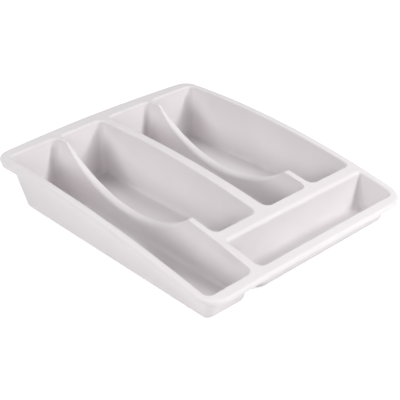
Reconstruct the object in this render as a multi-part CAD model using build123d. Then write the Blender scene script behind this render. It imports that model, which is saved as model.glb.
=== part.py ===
"""A cutlery tray: one thin-walled plastic moulding with four long compartments and one across the front.

Millimetres, +Z up. X runs across the tray, Y from its low front to its high back.
The origin is the middle of the tray's outline, on the surface that its floors stand on.
Five leaning-walled compartments hang from one arched rim surface. The ribs between them are
hollow and open underneath, and the rim ends in a short turned-down lip.
Each named region of the moulding is a solid of its own, and the regions meet face to face.
"""
import math
import os

from build123d import *

# Whole tray, measured over the lip
tray_length = 386.5
back_bow = 6.8
inside_width_at_floor = 256.5
side_flange = 9.9
wall = 1.6

# Height of the rim's top surface over the floors' undersides, along the middle of the tray
rim_height_front = 34.0
rim_height_middle = 64.1
rim_height_back = 69.7
rim_crown = 1.0

# Rim section: the lip that turns down outside, deeper at the back, and the roundings of its edges
lip_depth_front = 4.5
lip_depth_back = 12.0
rim_round = 3.5
front_corner_radius = 24.0
back_corner_radius = 20.0

# How far each kind of wall runs outwards for each unit that it rises
side_lean_share = 0.153
front_lean_share = 0.3
back_lean_share = 0.1
rib_lean_share = 0.095
cross_rib_lean_share = 0.08

# From the lip's front and back edges to the compartments' ends, at floor level
front_flange_at_floor = 23.8
back_flange_at_floor = 24.4

# Ribs that run front to back: middle line, and full width at the height rib_gauge_height
rib_gauge_height = 50.0
left_rib_place = -70.5
left_rib_width = 7.4
middle_rib_place = -1.4
middle_rib_width = 14.2
right_rib_place = 70.3
right_rib_width = 7.6

# The rib across the tray, behind the front compartment: middle line and full width, at the same height
cross_rib_from_front = 70.0
cross_rib_width = 15.9

# The scoops in the left and right ribs: one round cut each, on the same circle
scoop_radius = 177.0
scoop_lowest = 20.2
scoop_from_front = 216.2
scoop_side_room = 3.0

# Upright corners of the compartments, and the rounding between wall and floor
mouth_corner_radius = 8.0
floor_corner_radius = 7.0
floor_round = 5.6
front_compartment_floor_corner_radius = 12.0
front_compartment_floor_round = 10.0

# Seams between the named regions lie this far inside the compartments' mouths
seam_inset = 3.0
cut_overrun = 20.0

# Places worked out from the sizes above
front_edge = -tray_length / 2
back_edge = tray_length / 2
back_corner_edge = back_edge - back_bow
floor_half_width = inside_width_at_floor / 2
front_end = front_edge + front_flange_at_floor
back_end = back_corner_edge - back_flange_at_floor
cross_rib_place = front_edge + cross_rib_from_front
block_top = rim_height_back + cut_overrun
crown_radius = floor_half_width ** 2 / (2 * rim_crown)
rim_half_width = floor_half_width + side_flange + side_lean_share * rim_height_back
bow_radius = (rim_half_width ** 2 + back_bow ** 2) / (2 * back_bow)
scoop_place = front_edge + scoop_from_front
scoop_centre_height = scoop_lowest + scoop_radius


class ArchedSurface:
    """A surface that arches from front to back and is crowned across, by its heights on the middle line."""

    def __init__(self, front_height, middle_height, back_height):
        arc = ThreePointArc(
            (front_edge, front_height),
            ((front_edge + back_corner_edge) / 2, middle_height),
            (back_corner_edge, back_height),
        )
        self.middle = arc.arc_center
        self.radius = arc.radius

    def height(self, y, drop=0.0):
        """Its height on the tray's middle line, once lowered square to itself by drop."""
        radius = self.radius - drop
        return self.middle.Y + (radius ** 2 - (y - self.middle.X) ** 2) ** 0.5

    def under(self, drop=0.0):
        """Everything under the surface, once lowered square to itself by drop."""
        y_start = front_edge - cut_overrun
        y_end = back_edge + cut_overrun
        y_middle = (y_start + y_end) / 2
        start, middle, end = ((y, self.height(y, drop)) for y in (y_start, y_middle, y_end))
        outline = ThreePointArc(start, middle, end) + Polyline(
            end, (y_end, -cut_overrun), (y_start, -cut_overrun), start
        )
        sheet = Plane.YZ * make_face(outline)
        axis = Axis((0, 0, -crown_radius), (0, 1, 0))
        reach = math.degrees((floor_half_width + 2 * cut_overrun) / crown_radius)
        return revolve(sheet.rotate(axis, -reach), axis, 2 * reach)


rim_surface = ArchedSurface(rim_height_front, rim_height_middle, rim_height_back)
lip_edge_surface = ArchedSurface(
    rim_height_front - lip_depth_front,
    rim_height_middle - (lip_depth_front + lip_depth_back) / 2,
    rim_height_back - lip_depth_back,
)


def rectangle(left, right, front, back):
    """A rectangle in plan, given by its four sides."""
    return make_face(Polyline((left, front), (right, front), (right, back), (left, back), close=True))


class LeaningBlock:
    """A block whose four walls lean outwards, given by its sides at floor level and their leans."""

    def __init__(self, sides, leans, floor_radius):
        self.left, self.right, self.front, self.back = sides
        self.leans = leans
        self.floor_radius = floor_radius

    def sides_at(self, height, grow=0.0):
        """Left, right, front and back side at a height, moved outwards square to each wall by grow."""
        places = (self.left, self.right, self.front, self.back)
        outwards = (-1, 1, -1, 1)
        return [
            place + way * (lean * height + grow * math.hypot(1, lean))
            for place, way, lean in zip(places, outwards, self.leans)
        ]

    def outline_at(self, height, grow=0.0):
        """The block's outline in plan at a height."""
        rise_share = height / rim_height_middle
        radius = self.floor_radius + (mouth_corner_radius - self.floor_radius) * rise_share + grow
        face = rectangle(*self.sides_at(height, grow))
        return fillet(face.vertices(), radius)

    def solid(self, foot, grow=0.0, foot_round=0.0):
        """The block from the height foot up, with its foot's edge rounded."""
        ends = [Pos(0, 0, height) * self.outline_at(height, grow) for height in (foot, block_top)]
        block = loft(ends, ruled=True)
        if foot_round:
            block = fillet(block.faces().sort_by(Axis.Z)[0].edges(), foot_round)
        return block


def rib_side(place, width, way):
    """Where a rib's face on one side (-1 or 1) would reach floor level."""
    return place + way * (width / 2 + rib_lean_share * rib_gauge_height)


def cross_rib_side(way):
    """Where the cross rib's face on one side (-1 or 1) would reach floor level."""
    return cross_rib_place + way * (cross_rib_width / 2 + cross_rib_lean_share * rib_gauge_height)


left_rib = (left_rib_place, left_rib_width)
middle_rib = (middle_rib_place, middle_rib_width)
right_rib = (right_rib_place, right_rib_width)


def compartment(left, right, front, left_lean, right_lean, front_lean, back=None):
    """One compartment's inner walls; it runs to the tray's back end unless a back side is given."""
    to_the_back = back is None
    return LeaningBlock(
        (left, right, front, back_end if to_the_back else back),
        (left_lean, right_lean, front_lean, back_lean_share if to_the_back else cross_rib_lean_share),
        floor_corner_radius if to_the_back else front_compartment_floor_corner_radius,
    )


compartments = {
    "long_compartment": compartment(
        -floor_half_width, rib_side(*left_rib, -1), front_end,
        side_lean_share, rib_lean_share, front_lean_share,
    ),
    "back_left_compartment": compartment(
        rib_side(*left_rib, 1), rib_side(*middle_rib, -1), cross_rib_side(1),
        rib_lean_share, rib_lean_share, cross_rib_lean_share,
    ),
    "back_middle_compartment": compartment(
        rib_side(*middle_rib, 1), rib_side(*right_rib, -1), cross_rib_side(1),
        rib_lean_share, rib_lean_share, cross_rib_lean_share,
    ),
    "back_right_compartment": compartment(
        rib_side(*right_rib, 1), floor_half_width, cross_rib_side(1),
        rib_lean_share, side_lean_share, cross_rib_lean_share,
    ),
    "front_compartment": compartment(
        rib_side(*left_rib, 1), floor_half_width, front_end,
        rib_lean_share, side_lean_share, front_lean_share, cross_rib_side(-1),
    ),
}


def inner_floor_round(name):
    """Radius between walls and floor inside a compartment."""
    return front_compartment_floor_round if name == "front_compartment" else floor_round


cavities = {name: block.solid(wall, 0.0, inner_floor_round(name)) for name, block in compartments.items()}


def upright_edges(block):
    """A block's upright edges, from front to back."""
    return block.edges().filter_by(lambda edge: edge.bounding_box().size.Z > block_top / 2).sort_by(Axis.Y)


def lip_block(grow=0.0):
    """A block inside the lip's outer faces, moved outwards by grow; its back side is a round bow."""
    ends = []
    for height in (0, block_top):
        side = floor_half_width + side_flange + side_lean_share * height + grow
        ends.append(Pos(0, 0, height) * rectangle(-side, side, front_edge - grow, back_edge + cut_overrun))
    bow = Pos(0, back_edge - bow_radius, 0) * Cylinder(bow_radius + grow, 4 * block_top)
    block = loft(ends, ruled=True) & bow
    block = fillet(upright_edges(block)[:2], front_corner_radius + grow)
    return fillet(upright_edges(block)[-2:], back_corner_radius + grow)


def scoop_disc(rib, grow):
    """The round cut through one scooped rib, grown by grow."""
    place, width = rib
    low_width = width + 2 * rib_lean_share * (rib_gauge_height - scoop_lowest)
    across = low_width + 2 * (wall + scoop_side_room)
    disc = Cylinder(scoop_radius + grow, across, rotation=(0, 90, 0))
    return Pos(place, scoop_place, scoop_centre_height) * disc


def cut_scoops(solid, grow):
    """A solid without what lies inside the round cuts of both scooped ribs."""
    return solid - scoop_disc(left_rib, grow) - scoop_disc(right_rib, grow)


def upright_prism(corners):
    """A column through the whole tray on a flat outline, given by its corners in plan."""
    face = make_face(Polyline(*corners, close=True))
    return extrude(Pos(0, 0, -cut_overrun) * face, block_top + cut_overrun)


def column(x_start, x_end, y_start, y_end):
    """A column through the whole tray on a rectangle in plan."""
    return upright_prism([(x_start, y_start), (x_end, y_start), (x_end, y_end), (x_start, y_end)])


# Where the compartments' walls meet the rim, on the seams' side of the mouths' rounded corners
def seam_at(floor_place, way, lean, y):
    """A seam beside a wall that starts at floor_place and runs outwards (way -1 or 1) up to the rim."""
    return floor_place + way * (lean * rim_surface.height(y) - seam_inset)


front_seam = seam_at(front_end, -1, front_lean_share, front_edge)
back_seam = seam_at(back_end, 1, back_lean_share, back_corner_edge)
cross_rib_front_seam = seam_at(cross_rib_side(-1), 1, cross_rib_lean_share, cross_rib_place)
cross_rib_back_seam = seam_at(cross_rib_side(1), -1, cross_rib_lean_share, cross_rib_place)
cross_rib_left_seam = seam_at(rib_side(*left_rib, 1), -1, rib_lean_share, cross_rib_place)
cross_rib_right_seam = seam_at(floor_half_width, 1, side_lean_share, cross_rib_place)
side_seam_front = seam_at(floor_half_width, 1, side_lean_share, front_edge)
side_seam_back = seam_at(floor_half_width, 1, side_lean_share, back_edge)


def rim_skin():
    """The rim surface as one skin with its lip, with the compartments' mouths cut through it."""
    lid = lip_block() & rim_surface.under()
    lid = fillet(lid.faces().sort_by(Axis.Z)[-1].edges(), rim_round)
    hollow = lip_block(-wall) & rim_surface.under(wall)
    hollow = fillet(hollow.faces().sort_by(Axis.Z)[-1].edges(), rim_round - wall)
    skin = lid - hollow - lip_edge_surface.under()
    for cavity in cavities.values():
        skin -= cavity
    return skin


skin = rim_skin()


def rib_column(rib, y_start):
    """The column that holds a rib's top, from y_start to the seam at the tray's back."""
    place, width = rib
    low_width = width + 2 * rib_lean_share * (rib_gauge_height - scoop_lowest)
    reach = low_width / 2 + seam_inset
    return column(place - reach, place + reach, y_start, back_seam)


cross_rib_column = column(
    cross_rib_left_seam, cross_rib_right_seam, cross_rib_front_seam, cross_rib_back_seam
)
rib_columns = {
    "left_rib_top": rib_column(left_rib, front_seam) - cross_rib_column,
    "middle_rib_top": rib_column(middle_rib, cross_rib_back_seam),
    "right_rib_top": rib_column(right_rib, cross_rib_back_seam),
}


def scooped_top(name, rib):
    """A scooped rib's top: flat at both ends, with a curved strip that follows the scoop between them."""
    strip = (scoop_disc(rib, wall) & rim_surface.under()) - scoop_disc(rib, 0)
    for cavity in cavities.values():
        strip -= cavity
    flat_ends = (skin & rib_columns[name]) - scoop_disc(rib, 0)
    return flat_ends + strip


def rim_side(inner_corners, outwards):
    """One side of the rim: a mitred column's share of the skin, less what the cross rib's top takes."""
    reach = 2 * cut_overrun + side_flange
    outer_corners = [
        (x + reach * way_x, y + reach * way_y) for (x, y), (way_x, way_y) in zip(inner_corners, outwards)
    ]
    corners = inner_corners + outer_corners[::-1]
    return (skin & upright_prism(corners)) - cross_rib_column


front_left = (-side_seam_front, front_seam)
front_right = (side_seam_front, front_seam)
back_left = (-side_seam_back, back_seam)
back_right = (side_seam_back, back_seam)


def tub(name):
    """A compartment's floor and walls, up to the underside of the rim and of the scooped strips."""
    outside = compartments[name].solid(0, wall, inner_floor_round(name) + wall)
    shell = (outside - cavities[name]) & rim_surface.under(wall)
    return cut_scoops(shell, wall)


nodes = {name: tub(name) for name in compartments}
nodes["left_rib_top"] = scooped_top("left_rib_top", left_rib)
nodes["right_rib_top"] = scooped_top("right_rib_top", right_rib)
nodes["middle_rib_top"] = skin & rib_columns["middle_rib_top"]
nodes["cross_rib_top"] = skin & cross_rib_column
nodes["front_rim"] = rim_side([front_left, front_right], [(-1, -1), (1, -1)])
nodes["back_rim"] = rim_side([back_right, back_left], [(1, 1), (-1, 1)])
nodes["left_rim"] = rim_side([back_left, front_left], [(-1, 1), (-1, -1)])
nodes["right_rim"] = rim_side([front_right, back_right], [(1, -1), (1, 1)])

os.makedirs("parts", exist_ok=True)
for name, solid in nodes.items():
    export_step(solid, f"parts/{name}.step")
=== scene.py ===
"""A cutlery tray: one thin-walled plastic moulding, seen from its low front corner.

The tray is modelled in millimetres, with its floors standing at height zero, and is brought to
metres at the end. One sheet is drawn first: the arched deck, the five pockets that hang from it
and the turned-down lip. It is then parted into the tray's named regions, and each gets its wall.
"""

import math

import bmesh
import bpy
from mathutils import Matrix, Vector


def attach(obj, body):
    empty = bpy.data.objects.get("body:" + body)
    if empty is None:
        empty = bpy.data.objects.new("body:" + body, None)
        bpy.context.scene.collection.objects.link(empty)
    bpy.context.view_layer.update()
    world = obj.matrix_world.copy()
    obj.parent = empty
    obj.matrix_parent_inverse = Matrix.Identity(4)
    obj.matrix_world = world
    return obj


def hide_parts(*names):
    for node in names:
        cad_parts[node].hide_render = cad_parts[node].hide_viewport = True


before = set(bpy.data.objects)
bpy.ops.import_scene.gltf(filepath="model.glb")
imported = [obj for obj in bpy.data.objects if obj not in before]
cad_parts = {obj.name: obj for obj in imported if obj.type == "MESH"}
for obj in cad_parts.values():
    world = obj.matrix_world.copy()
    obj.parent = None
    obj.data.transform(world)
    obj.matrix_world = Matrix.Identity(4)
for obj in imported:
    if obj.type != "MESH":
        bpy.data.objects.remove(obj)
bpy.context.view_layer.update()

# Whole tray, measured over the lip
tray_length = 386.5
back_bow = 6.8
inside_width_at_floor = 256.5
side_flange = 9.9
wall = 1.6

# Height of the deck's top along the middle of the tray
rim_height_front = 34.0
rim_height_middle = 64.1
rim_height_back = 69.7
rim_crown = 1.0

# The lip, and the roundings of the rim
lip_depth_front = 4.5
lip_depth_back = 12.0
rim_round = 3.5
front_corner_radius = 24.0
back_corner_radius = 20.0

# How far each kind of wall runs outwards for each unit that it rises
side_lean_share = 0.153
front_lean_share = 0.3
back_lean_share = 0.1
rib_lean_share = 0.095
cross_rib_lean_share = 0.08

# From the lip's front and back edges to the pockets' ends, at floor level
front_flange_at_floor = 23.8
back_flange_at_floor = 24.4

# Ribs: middle line, and full width at the height rib_gauge_height
rib_gauge_height = 50.0
left_rib_place = -70.5
left_rib_width = 7.4
middle_rib_place = -1.4
middle_rib_width = 14.2
right_rib_place = 70.3
right_rib_width = 7.6
cross_rib_from_front = 70.0
cross_rib_width = 15.9

# The scoops in the left and right ribs
scoop_radius = 177.0
scoop_lowest = 20.2
scoop_from_front = 216.2
scoop_side_room = 3.0

# Upright corners of the pockets, the roundings of their floors and mouths, and narrow strips beside them
mouth_corner_radius = 8.0
floor_corner_radius = 7.0
floor_round = 5.6
front_pocket_floor_corner_radius = 12.0
front_pocket_floor_round = 10.0
front_pocket_back_corner_radius = 3.0
mouth_round = 2.4
cross_rib_front_round = 4.5
middle_rib_round = 2.0
scooped_rib_round = 1.3
scoop_blend = 14.0
margin = 0.3
seam_inset = 3.0

# How finely the sheet is drawn, and small allowances for filling and parting its deck
step_along_edges = 4.0
corner_steps = 8
round_steps = 5
wall_steps = 4
drawn_in_for_fill = 6.0
window_room = 1.0
corner_settling_steps = 8
scoop_settling_steps = 30
crease_angle = math.radians(33)
millimetre = 0.001

front_edge = -tray_length / 2
back_edge = tray_length / 2
back_corner_edge = back_edge - back_bow
floor_half_width = inside_width_at_floor / 2
front_end = front_edge + front_flange_at_floor
back_end = back_corner_edge - back_flange_at_floor
cross_rib_place = front_edge + cross_rib_from_front
crown_radius = floor_half_width ** 2 / (2 * rim_crown)
rim_half_width = floor_half_width + side_flange + side_lean_share * rim_height_back
bow_radius = (rim_half_width ** 2 + back_bow ** 2) / (2 * back_bow)
bow_middle = back_edge - bow_radius
scoop_place = front_edge + scoop_from_front
scoop_middle_height = scoop_lowest + scoop_radius


class ArchedSurface:
    """A surface that arches from front to back and is crowned across, by three heights along its middle."""

    def __init__(self, front_height, middle_height, back_height):
        first = Vector((front_edge, front_height))
        second = Vector(((front_edge + back_corner_edge) / 2, middle_height))
        third = Vector((back_corner_edge, back_height))
        u, v = second - first, third - first
        cross = 2 * (u.x * v.y - u.y * v.x)
        uu, vv = u.length_squared, v.length_squared
        self.middle = first + Vector((v.y * uu - u.y * vv, u.x * vv - v.x * uu)) / cross
        self.radius = (first - self.middle).length

    def height(self, x, y):
        """Its height over a place in plan."""
        along = self.middle.y + math.sqrt(self.radius ** 2 - (y - self.middle.x) ** 2)
        return math.sqrt((crown_radius + along) ** 2 - x ** 2) - crown_radius


deck = ArchedSurface(rim_height_front, rim_height_middle, rim_height_back)
lip_edge = ArchedSurface(
    rim_height_front - lip_depth_front,
    rim_height_middle - (lip_depth_front + lip_depth_back) / 2,
    rim_height_back - lip_depth_back,
)


def rib_side(place, width, way):
    """Where a rib's face on one side (-1 or 1) would reach floor level."""
    return place + way * (width / 2 + rib_lean_share * rib_gauge_height)


def cross_rib_side(way):
    """Where the cross rib's face on one side (-1 or 1) would reach floor level."""
    return cross_rib_place + way * (cross_rib_width / 2 + cross_rib_lean_share * rib_gauge_height)


left_rib = (left_rib_place, left_rib_width)
middle_rib = (middle_rib_place, middle_rib_width)
right_rib = (right_rib_place, right_rib_width)


def rib_reach(rib):
    """Half the width of the strip in plan that belongs to a rib's top."""
    return rib[1] / 2 + rib_lean_share * (rib_gauge_height - scoop_lowest) + seam_inset


def scoop_height(y):
    """The height of the scoops' round cut over a place along the tray."""
    away = min(abs(y - scoop_place), scoop_radius)
    return scoop_middle_height - math.sqrt(scoop_radius ** 2 - away ** 2)


def top_height(x, y):
    """The height of the sheet's top over a place in plan: the arched deck or a scooped rib."""
    height = deck.height(x, y)
    for rib in (left_rib, right_rib):
        if abs(x - rib[0]) < rib_reach(rib) + scoop_side_room:
            height = min(height, scoop_height(y))
    return height


def scoop_end(way):
    """Where along the tray the scoops run out into the deck, towards the front (-1) or back (1)."""
    y = scoop_place + way * scoop_radius / 2
    for _ in range(scoop_settling_steps):
        drop = scoop_middle_height - deck.height(left_rib_place, y)
        y = scoop_place + way * math.sqrt(scoop_radius ** 2 - drop ** 2)
    return y


scoop_ends = (scoop_end(-1), scoop_end(1))


class Pocket:
    """A pocket's inner face, told by its sides at floor level, their leans and its mouth's roundings."""

    def __init__(self, sides, leans, mouth_rounds):
        self.sides = sides
        self.leans = leans
        self.mouth_rounds = mouth_rounds
        self.mouth_height = deck.height(0, sides[3])
        self.floor_rounding = floor_round
        self.floor_corner = floor_corner_radius
        self.back_mouth_corner = mouth_corner_radius

    def sides_at(self, height):
        """Left, right, front and back side at a height."""
        return [s + way * lean * height for s, way, lean in zip(self.sides, (-1, 1, -1, 1), self.leans)]

    def radius_at(self, height, t):
        """The radius of the upright corners at a height, at the front (t = 0) or the back (t = 1)."""
        mouth_corner = mouth_corner_radius * (1 - t) + self.back_mouth_corner * t
        fall_share = max(1 - height / self.mouth_height, 0)
        return mouth_corner + (self.floor_corner - mouth_corner) * fall_share ** 2

    def point(self, seat, height):
        """The place on the wall of one seat of the outline, at a height."""
        left, right, front, back = self.sides_at(height)
        s, t, nx, ny = seat
        radius = self.radius_at(height, t)
        core_front, core_back = front + self.radius_at(height, 0), back - self.radius_at(height, 1)
        x = (left + radius) * (1 - s) + (right - radius) * s + radius * nx
        y = core_front * (1 - t) + core_back * t + radius * ny
        return Vector((x, y, height))

    def outwards(self, seat):
        """The direction in plan away from the pocket."""
        return Vector((seat[2], seat[3], 0))

    def rounding(self, seat, corner):
        """The radius of the mouth's rounding at a seat; in a scoop it takes the rib's whole width."""
        left, right, front, back = self.mouth_rounds
        side = right if seat[2] > 0 else left
        end = back if seat[3] > 0 else front
        depth_in_scoop = min(corner.y - scoop_ends[0], scoop_ends[1] - corner.y) / scoop_blend
        if side == scooped_rib_round and depth_in_scoop > 0:
            half_width = min(abs(corner.x - rib[0]) for rib in (left_rib, right_rib))
            share = min(depth_in_scoop, 1)
            side += (half_width - 2 * margin - side) * share * share * (3 - 2 * share)
        return side * seat[2] ** 2 + end * seat[3] ** 2


class Outline:
    """The lip's outer face, whose back side is a round bow."""

    def point(self, seat, height):
        """The place on the lip of one seat of the outline, at a height."""
        s, t, nx, ny = seat
        side = floor_half_width + side_flange + side_lean_share * height
        front = front_edge + front_corner_radius
        if t == 0:
            x = (side - front_corner_radius) * (2 * s - 1)
            return Vector((x + front_corner_radius * nx, front + front_corner_radius * ny, height))
        corner_x = side - back_corner_radius
        corner_y = bow_middle + math.sqrt((bow_radius - back_corner_radius) ** 2 - corner_x ** 2)
        if t < 1:
            return Vector((side * nx, front * (1 - t) + corner_y * t, height))
        if 0 < s < 1:
            x = corner_x * bow_radius / (bow_radius - back_corner_radius) * (2 * s - 1)
            return Vector((x, bow_middle + math.sqrt(bow_radius ** 2 - x ** 2), height))
        core = Vector((corner_x * (2 * s - 1), corner_y, height))
        return core + back_corner_radius * self.outwards(seat)

    def outwards(self, seat):
        """The direction in plan away from the tray."""
        s, t, nx, ny = seat
        if t < 1:
            return Vector((nx, ny, 0))
        if 0 < s < 1:
            turn = (2 * s - 1) * math.asin(rim_half_width / bow_radius)
            return Vector((math.sin(turn), math.cos(turn), 0))
        full_turn = math.pi / 2 - math.asin(rim_half_width / bow_radius)
        turn = math.atan2(ny, abs(nx)) / (math.pi / 2) * full_turn
        return Vector(((2 * s - 1) * math.cos(turn), math.sin(turn), 0))


def add_rounded_face(sheet, belongs, index, sides, radius):
    """Adds a rounded rectangle as one face with short edges, marked with its index."""
    left, right, front, back = sides
    corners = [
        sheet.verts.new(place)
        for place in ((left, front, 0), (right, front, 0), (right, back, 0), (left, back, 0))
    ]
    sheet.faces.new(corners)[belongs] = index
    bmesh.ops.bevel(
        sheet, geom=corners, offset=radius, offset_type="OFFSET", segments=corner_steps,
        profile=0.5, affect="VERTICES", material=-1,
    )
    face = next(f for f in sheet.faces if f[belongs] == index)
    for edge in [e for e in face.edges if e.calc_length() > 2 * step_along_edges]:
        cuts = round(edge.calc_length() / step_along_edges) - 1
        bmesh.ops.subdivide_edges(sheet, edges=[edge], cuts=cuts)


def seats_of(ring, sides, radius):
    """Each vertex's seat on a rounded rectangle: its shares across and along, and its way outwards."""
    left, right, front, back = sides
    core_left, core_front = left + radius, front + radius
    core_width, core_length = right - radius - core_left, back - radius - core_front
    seats = []
    for vert in ring:
        s = min(max(round((vert.co.x - core_left) / core_width, 5), 0), 1)
        t = min(max(round((vert.co.y - core_front) / core_length, 5), 0), 1)
        core = Vector((core_left + s * core_width, core_front + t * core_length, 0))
        outwards = (vert.co - core).normalized()
        seats.append((s, t, outwards.x, outwards.y))
    return seats


def rounding_between(corner, first, second, radius):
    """Points of a rounding between two lines that meet at a corner, and its reach along them."""
    opening = first.angle(second)
    reach = radius / math.tan(opening / 2)
    middle = corner + (first + second).normalized() * radius / math.sin(opening / 2)
    start, end = corner + first * reach - middle, corner + second * reach - middle
    turn = math.pi - opening
    points = [
        middle + (start * math.sin(turn * (1 - k / round_steps)) + end * math.sin(turn * k / round_steps))
        / math.sin(turn)
        for k in range(round_steps + 1)
    ]
    return points, reach


def top_corner(shape, seat):
    """Where a wall would meet the top in a sharp edge at a seat, and the wall's direction downwards."""
    height = rim_height_middle
    for _ in range(corner_settling_steps):
        place = shape.point(seat, height)
        height = top_height(place.x, place.y)
    corner = shape.point(seat, height)
    return corner, (shape.point(seat, height - floor_round) - corner).normalized()


def along_top(corner, way):
    """The direction along the top from a place, in a direction in plan."""
    beside = corner + way
    return (Vector((beside.x, beside.y, top_height(beside.x, beside.y))) - corner).normalized()


def pocket_rings(pocket, seat):
    """A pocket's points at one seat, from the deck round the mouth's edge and down to the floor."""
    corner, down = top_corner(pocket, seat)
    outwards = pocket.outwards(seat)
    across = along_top(corner, outwards)
    points, reach = rounding_between(corner, across, down, pocket.rounding(seat, corner))
    points.insert(0, points[0] + across * margin)
    band = corner + down * (reach + 3 * margin)
    foot = pocket.point(seat, wall)
    up = (pocket.point(seat, wall + floor_round) - foot).normalized()
    floor_points, floor_reach = rounding_between(foot, up, -outwards, pocket.floor_rounding)
    heights = [band.z + (floor_points[0].z - band.z) * k / wall_steps for k in range(1, wall_steps)]
    points += [band] + [pocket.point(seat, height) for height in heights] + floor_points
    return points + [foot - outwards * (floor_reach + 3 * margin)]


def lip_rings(outline, seat):
    """The rim's points at one seat, from the deck round its outer edge and down the lip."""
    corner, down = top_corner(outline, seat)
    across = along_top(corner, -outline.outwards(seat))
    points, _ = rounding_between(corner, across, down, rim_round)
    points.insert(0, points[0] + across * margin)
    height = lip_edge.height(corner.x, corner.y)
    return points + [outline.point(seat, height)]


def next_ring(sheet, ring, edges, points):
    """A ring drawn on from another one, with its vertices set on their points."""
    made = bmesh.ops.extrude_edge_only(sheet, edges=edges)["geom"]
    new = {item for item in made if isinstance(item, bmesh.types.BMVert)}
    following = []
    for vert in ring:
        following.append(next(e.other_vert(vert) for e in vert.link_edges if e.other_vert(vert) in new))
    for vert, point in zip(following, points):
        vert.co = point
    new_edges = {e for v in following for e in v.link_edges if e.other_vert(v) in new}
    faces = {f for v in following for f in v.link_faces}
    return following, list(new_edges), faces


scooped, straight, side = scooped_rib_round, middle_rib_round, mouth_round
pockets = {
    "long_compartment": Pocket(
        (-floor_half_width, rib_side(*left_rib, -1), front_end, back_end),
        (side_lean_share, rib_lean_share, front_lean_share, back_lean_share),
        (side, scooped, side, side),
    ),
    "back_left_compartment": Pocket(
        (rib_side(*left_rib, 1), rib_side(*middle_rib, -1), cross_rib_side(1), back_end),
        (rib_lean_share, rib_lean_share, cross_rib_lean_share, back_lean_share),
        (scooped, straight, side, side),
    ),
    "back_middle_compartment": Pocket(
        (rib_side(*middle_rib, 1), rib_side(*right_rib, -1), cross_rib_side(1), back_end),
        (rib_lean_share, rib_lean_share, cross_rib_lean_share, back_lean_share),
        (straight, scooped, side, side),
    ),
    "back_right_compartment": Pocket(
        (rib_side(*right_rib, 1), floor_half_width, cross_rib_side(1), back_end),
        (rib_lean_share, side_lean_share, cross_rib_lean_share, back_lean_share),
        (scooped, side, side, side),
    ),
    "front_compartment": Pocket(
        (rib_side(*left_rib, 1), floor_half_width, front_end, cross_rib_side(-1)),
        (rib_lean_share, side_lean_share, front_lean_share, cross_rib_lean_share),
        (scooped, side, side, cross_rib_front_round),
    ),
}
front_pocket = pockets["front_compartment"]
front_pocket.floor_rounding = front_pocket_floor_round
front_pocket.floor_corner = front_pocket_floor_corner_radius
front_pocket.back_mouth_corner = front_pocket_back_corner_radius
outline = Outline()
outline_sides = (-rim_half_width, rim_half_width, front_edge, back_corner_edge)


def set_on_scoop_ends(pocket, seats):
    """Seats beside a scooped rib, with the nearest ones moved to where the scoops end."""
    for end in scoop_ends:
        for way in (-1, 1):
            place = pocket.point(((1 + way) / 2, 0.5, way, 0), rim_height_middle)
            if top_height(place.x, scoop_place) > scoop_lowest + rim_round:
                continue
            height = deck.height(place.x, end)
            near = pocket.point(((1 + way) / 2, 0, way, 0), height).y
            far = pocket.point(((1 + way) / 2, 1, way, 0), height).y
            share = (end - near) / (far - near)
            beside = [k for k, seat in enumerate(seats) if seat[2] * way > 0.99 and 0 < seat[1] < 1]
            if 0 < share < 1:
                nearest = min(beside, key=lambda k: abs(seats[k][1] - share))
                seats[nearest] = (seats[nearest][0], share, way, 0)
    return seats


def seam_at(floor_place, way, lean, y):
    """A seam beside a wall that starts at floor_place and runs outwards (way -1 or 1) up to the rim."""
    return floor_place + way * (lean * deck.height(0, y) - seam_inset)


front_seam = seam_at(front_end, -1, front_lean_share, front_edge)
back_seam = seam_at(back_end, 1, back_lean_share, back_corner_edge)
cross_front_seam = seam_at(cross_rib_side(-1), 1, cross_rib_lean_share, cross_rib_place)
cross_back_seam = seam_at(cross_rib_side(1), -1, cross_rib_lean_share, cross_rib_place)
cross_left_seam = seam_at(rib_side(*left_rib, 1), -1, rib_lean_share, cross_rib_place)
cross_right_seam = seam_at(floor_half_width, 1, side_lean_share, cross_rib_place)
side_seam_front = seam_at(floor_half_width, 1, side_lean_share, front_edge)
side_seam_back = seam_at(floor_half_width, 1, side_lean_share, back_edge)
rib_tops = {"left_rib_top": left_rib, "middle_rib_top": middle_rib, "right_rib_top": right_rib}


def side_seam(y):
    """How far out the side rims' inner seams lie at a place along the tray."""
    share = (y - front_seam) / (back_seam - front_seam)
    return side_seam_front + (side_seam_back - side_seam_front) * share


def deck_region(x, y):
    """The named region that a place on the deck belongs to."""
    side_rim = "left_rim" if x < 0 else "right_rim"
    if y < front_seam:
        return side_rim if abs(x) - side_seam_front > front_seam - y else "front_rim"
    if y > back_seam:
        return side_rim if abs(x) - side_seam_back > y - back_seam else "back_rim"
    if abs(x) > side_seam(y):
        return side_rim
    if cross_left_seam < x < cross_right_seam and cross_front_seam < y < cross_back_seam:
        return "cross_rib_top"
    if cross_front_seam < y < cross_back_seam and x > cross_right_seam:
        return side_rim
    return min(rib_tops, key=lambda name: abs(x - rib_tops[name][0]))


def cut_deck(sheet, belongs, place, across, inside):
    """Parts the deck's faces along an upright plane, where their middles lie inside a window."""
    faces = [f for f in sheet.faces if f[belongs] == 0 and inside(*f.calc_center_median().xy)]
    parts = set(faces) | {e for f in faces for e in f.edges} | {v for f in faces for v in f.verts}
    bmesh.ops.bisect_plane(
        sheet, geom=list(parts), dist=margin / 2, plane_co=(*place, 0), plane_no=(*across, 0)
    )


def drawn_in(place):
    """A place on the rim's front edge, drawn in towards the middle; any other place stays as it is.

    Points in one straight line would leave slivers in the filled deck.
    """
    if place.y > front_edge + 2 * rim_round:
        return place
    return place + Vector((0, drawn_in_for_fill * (1 - (place.x / rim_half_width) ** 2), 0))


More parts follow.
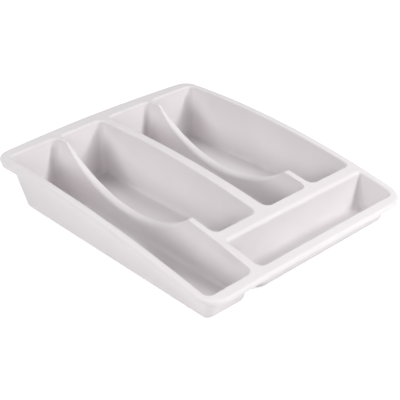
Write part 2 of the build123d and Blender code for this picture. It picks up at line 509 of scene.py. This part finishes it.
def tray_sheet():
    """The whole tray's upper face as one sheet, and the layer that tells its faces' regions."""
    sheet = bmesh.new()
    belongs = sheet.faces.layers.int.new("belongs")
    shapes = [
        (pocket, pocket.sides_at(rim_height_middle), mouth_corner_radius)
        for pocket in pockets.values()
    ]
    shapes.append((outline, outline_sides, back_corner_radius))
    for index, (_, sides, radius) in enumerate(shapes):
        add_rounded_face(sheet, belongs, index + 1, sides, radius)
    faces = sorted(sheet.faces, key=lambda f: f[belongs])
    loops = []
    for region, (face, (shape, sides, radius)) in enumerate(zip(faces, shapes), 1):
        ring = list(face.verts)
        seats = seats_of(ring, sides, radius)
        if shape is outline:
            columns = [lip_rings(outline, seat) for seat in seats]
            loops.append((0, ring, list(face.edges), columns))
        else:
            seats = set_on_scoop_ends(shape, seats)
            columns = [pocket_rings(shape, seat) for seat in seats]
            loops.append((region, ring, list(face.edges), columns))
    bmesh.ops.delete(sheet, geom=faces, context="FACES_ONLY")
    starts = [
        (vert, points[0])
        for _, ring, _, columns in loops
        for vert, points in zip(ring, columns)
    ]
    for vert, place in starts:
        vert.co = drawn_in(place)
    all_edges = [edge for loop in loops for edge in loop[2]]
    bmesh.ops.triangle_fill(sheet, edges=all_edges, use_beauty=True, normal=(0, 0, 1))
    for vert, place in starts:
        vert.co = place
    for end in scoop_ends:
        for rib in (left_rib, right_rib):
            reach = rib_reach(rib)
            cut_deck(
                sheet, belongs, (rib[0], end), (0, 1),
                lambda x, y: abs(x - rib[0]) < reach and abs(y - end) < 3 * step_along_edges,
            )
    for vert in sheet.verts:
        vert.co.z = top_height(vert.co.x, vert.co.y)
    for region, ring, edges, columns in loops:
        for k in range(1, len(columns[0])):
            ring, edges, faces = next_ring(sheet, ring, edges, [points[k] for points in columns])
            if region and k > round_steps + 2:
                for face in faces:
                    face[belongs] = region
        if region:
            floor = bmesh.ops.contextual_create(sheet, geom=edges)["faces"]
            for face in floor:
                face[belongs] = region
    bmesh.ops.recalc_face_normals(sheet, faces=sheet.faces)
    floor = min(sheet.faces, key=lambda f: f.calc_center_median().z)
    if floor.normal.z < 0:
        bmesh.ops.reverse_faces(sheet, faces=sheet.faces)
    return sheet, belongs


def part_deck(sheet, belongs):
    """Cuts the deck along the seams between its named regions."""
    cut_deck(sheet, belongs, (0, front_seam), (0, 1), lambda x, y: abs(x) < side_seam_front)
    cut_deck(sheet, belongs, (0, back_seam), (0, 1), lambda x, y: abs(x) < side_seam_back)
    for y in (cross_front_seam, cross_back_seam):
        cut_deck(
            sheet, belongs, (0, y), (0, 1),
            lambda x, y: cross_left_seam - window_room < x < cross_right_seam + window_room,
        )
    for x in (cross_left_seam, cross_right_seam):
        cut_deck(sheet, belongs, (x, 0), (1, 0), lambda x, y: cross_front_seam < y < cross_back_seam)
    for way in (-1, 1):
        lean = (side_seam_back - side_seam_front) / (back_seam - front_seam)
        cut_deck(
            sheet, belongs, (way * side_seam_front, front_seam), (way, -lean),
            lambda x, y: x * way > 0 and front_seam < y < back_seam,
        )
        cut_deck(
            sheet, belongs, (way * side_seam_front, front_seam), (way, 1),
            lambda x, y: x * way > side_seam_front - window_room and y < front_seam + window_room,
        )
        cut_deck(
            sheet, belongs, (way * side_seam_back, back_seam), (way, -1),
            lambda x, y: x * way > side_seam_back - window_room and y > back_seam - window_room,
        )


def make_piece(name, sheet_mesh, belongs_values, region):
    """One named region of the tray, given its wall, as an object."""
    piece = bmesh.new()
    piece.from_mesh(sheet_mesh)
    others = [f for f, value in zip(piece.faces, belongs_values) if value != region]
    bmesh.ops.delete(piece, geom=others, context="FACES")
    bmesh.ops.solidify(piece, geom=piece.faces[:], thickness=wall)
    for face in piece.faces:
        face.smooth = True
    for edge in piece.edges:
        edge.smooth = edge.calc_face_angle(math.pi) < crease_angle
    bmesh.ops.scale(piece, vec=(millimetre, millimetre, millimetre), verts=piece.verts)
    mesh = bpy.data.meshes.new(name)
    piece.to_mesh(mesh)
    piece.free()
    made = bpy.data.objects.new("moulded_" + name, mesh)
    bpy.context.scene.collection.objects.link(made)
    mesh.materials.append(plastic)
    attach(made, "root")
    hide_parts(name)


def moulded_plastic():
    """Off-white satin plastic, with a faint mould texture and slightly uneven gloss."""
    material = bpy.data.materials.new("off_white_moulded_plastic")
    material.use_nodes = True
    nodes, links = material.node_tree.nodes, material.node_tree.links
    shader = next(n for n in nodes if n.type == "BSDF_PRINCIPLED")
    places = nodes.new("ShaderNodeTexCoord")
    cloud = nodes.new("ShaderNodeTexNoise")
    cloud.inputs["Scale"].default_value = 14
    cloud.inputs["Detail"].default_value = 3
    links.new(places.outputs["Object"], cloud.inputs["Vector"])
    tint = nodes.new("ShaderNodeValToRGB")
    tint.color_ramp.elements[0].position, tint.color_ramp.elements[1].position = 0.35, 0.65
    tint.color_ramp.elements[0].color = (0.775, 0.742, 0.752, 1)
    tint.color_ramp.elements[1].color = (0.800, 0.768, 0.778, 1)
    links.new(cloud.outputs["Fac"], tint.inputs["Fac"])
    links.new(tint.outputs["Color"], shader.inputs["Base Color"])
    grain = nodes.new("ShaderNodeTexNoise")
    grain.inputs["Scale"].default_value = 900
    grain.inputs["Detail"].default_value = 2
    links.new(places.outputs["Object"], grain.inputs["Vector"])
    gloss = nodes.new("ShaderNodeMapRange")
    gloss.inputs["To Min"].default_value, gloss.inputs["To Max"].default_value = 0.48, 0.6
    links.new(cloud.outputs["Fac"], gloss.inputs["Value"])
    links.new(gloss.outputs["Result"], shader.inputs["Roughness"])
    bump = nodes.new("ShaderNodeBump")
    bump.inputs["Strength"].default_value = 0.08
    bump.inputs["Distance"].default_value = 0.0002
    links.new(grain.outputs["Fac"], bump.inputs["Height"])
    links.new(bump.outputs["Normal"], shader.inputs["Normal"])
    return material


plastic = moulded_plastic()
sheet, belongs = tray_sheet()
part_deck(sheet, belongs)
regions = list(pockets) + ["left_rim", "right_rim", "front_rim", "back_rim", "cross_rib_top", *rib_tops]
for face in sheet.faces:
    if face[belongs] == 0:
        face[belongs] = 1 + regions.index(deck_region(*face.calc_center_median().xy))
belongs_values = [face[belongs] for face in sheet.faces]
sheet_mesh = bpy.data.meshes.new("tray_sheet")
sheet.to_mesh(sheet_mesh)
sheet.free()
for index, name in enumerate(regions):
    make_piece(name, sheet_mesh, belongs_values, index + 1)
bpy.data.meshes.remove(sheet_mesh)

# The camera, standing low at the tray's front left and leaning a little
camera_target = Vector((-11.3, -24.85, 30.0)) * millimetre
camera_azimuth, camera_elevation, camera_roll = (math.radians(v) for v in (-37.971, 29.104, -5.0))
camera_distance = 1.0546
away = Vector((
    math.sin(camera_azimuth) * math.cos(camera_elevation),
    -math.cos(camera_azimuth) * math.cos(camera_elevation),
    math.sin(camera_elevation),
))
level = Vector((math.cos(camera_azimuth), math.sin(camera_azimuth), 0))
upright = away.cross(level)
right = level * math.cos(camera_roll) + upright * math.sin(camera_roll)
up = upright * math.cos(camera_roll) - level * math.sin(camera_roll)
view = bpy.data.cameras.new("view")
view.sensor_width = 36
view.lens = 84.44
camera = bpy.data.objects.new("camera", view)
turned = Matrix((right, up, away)).transposed().to_4x4()
camera.matrix_world = Matrix.Translation(camera_target + away * camera_distance) @ turned
bpy.context.scene.collection.objects.link(camera)
bpy.context.scene.camera = camera


def seen_directly(nodes, links):
    """A socket that is 1 for camera, glossy and transmission rays, and 0 for others."""
    rays = nodes.new("ShaderNodeLightPath")
    camera_or_glossy = nodes.new("ShaderNodeMath")
    camera_or_glossy.operation = "ADD"
    links.new(rays.outputs["Is Camera Ray"], camera_or_glossy.inputs[0])
    links.new(rays.outputs["Is Glossy Ray"], camera_or_glossy.inputs[1])
    any_of_them = nodes.new("ShaderNodeMath")
    any_of_them.operation = "ADD"
    any_of_them.use_clamp = True
    links.new(camera_or_glossy.outputs[0], any_of_them.inputs[0])
    links.new(rays.outputs["Is Transmission Ray"], any_of_them.inputs[1])
    return any_of_them.outputs[0]


# A pale floor that keeps the tray's shadow, lifted to white where it is seen
ground = bpy.data.materials.new("pale_floor")
ground.use_nodes = True
nodes, links = ground.node_tree.nodes, ground.node_tree.links
surface = next(n for n in nodes if n.type == "BSDF_PRINCIPLED")
surface.inputs["Base Color"].default_value = (0.9, 0.9, 0.9, 1)
surface.inputs["Roughness"].default_value = 0.9
lift = nodes.new("ShaderNodeEmission")
lift.inputs["Color"].default_value = (1, 1, 1, 1)
strength = nodes.new("ShaderNodeMath")
strength.operation = "MULTIPLY"
strength.inputs[1].default_value = 0.55
links.new(seen_directly(nodes, links), strength.inputs[0])
links.new(strength.outputs[0], lift.inputs["Strength"])
both = nodes.new("ShaderNodeAddShader")
links.new(surface.outputs[0], both.inputs[0])
links.new(lift.outputs[0], both.inputs[1])
links.new(both.outputs[0], next(n for n in nodes if n.type == "OUTPUT_MATERIAL").inputs["Surface"])
floor_mesh = bpy.data.meshes.new("floor")
shape = bmesh.new()
bmesh.ops.create_circle(shape, cap_ends=True, segments=64, radius=4)
shape.to_mesh(floor_mesh)
shape.free()
floor_mesh.materials.append(ground)
floor = bpy.data.objects.new("floor", floor_mesh)
bpy.context.scene.collection.objects.link(floor)

# Soft studio light: a faint surround and round lamps, in front of a white backdrop
world = bpy.data.worlds.new("studio")
bpy.context.scene.world = world
world.use_nodes = True
nodes, links = world.node_tree.nodes, world.node_tree.links
nodes.clear()
lighting = nodes.new("ShaderNodeBackground")
lighting.inputs["Color"].default_value = (1, 1, 1, 1)
lighting.inputs["Strength"].default_value = 0.08
backdrop = nodes.new("ShaderNodeBackground")
backdrop.inputs["Color"].default_value = (1, 1, 1, 1)
backdrop.inputs["Strength"].default_value = 1
mix = nodes.new("ShaderNodeMixShader")
links.new(seen_directly(nodes, links), mix.inputs["Fac"])
links.new(lighting.outputs[0], mix.inputs[1])
links.new(backdrop.outputs[0], mix.inputs[2])
links.new(mix.outputs[0], nodes.new("ShaderNodeOutputWorld").inputs["Surface"])

lamp_distance = 1.8


def lamp(name, turn, rise, power, size):
    """A soft round lamp that faces the tray, at a turn from the X axis and a rise, in degrees."""
    light = bpy.data.lights.new(name, "AREA")
    light.shape, light.size, light.energy = "DISK", size, power
    turn, rise = math.radians(turn), math.radians(rise)
    way = Vector((math.cos(turn) * math.cos(rise), math.sin(turn) * math.cos(rise), math.sin(rise)))
    stand = bpy.data.objects.new(name, light)
    stand.location = lamp_distance * way
    stand.rotation_euler = (-way).to_track_quat("-Z", "Y").to_euler()
    bpy.context.scene.collection.objects.link(stand)


lamp("front_right_low", -65, 28, 15, 0.3)
lamp("front_right_high", -45, 58, 10, 0.5)
lamp("left", 180, 27, 12, 0.8)
lamp("front_left", -135, 20, 4, 0.8)
lamp("back", 105, 50, 7, 0.8)

bpy.context.scene.view_settings.view_transform = "Standard"
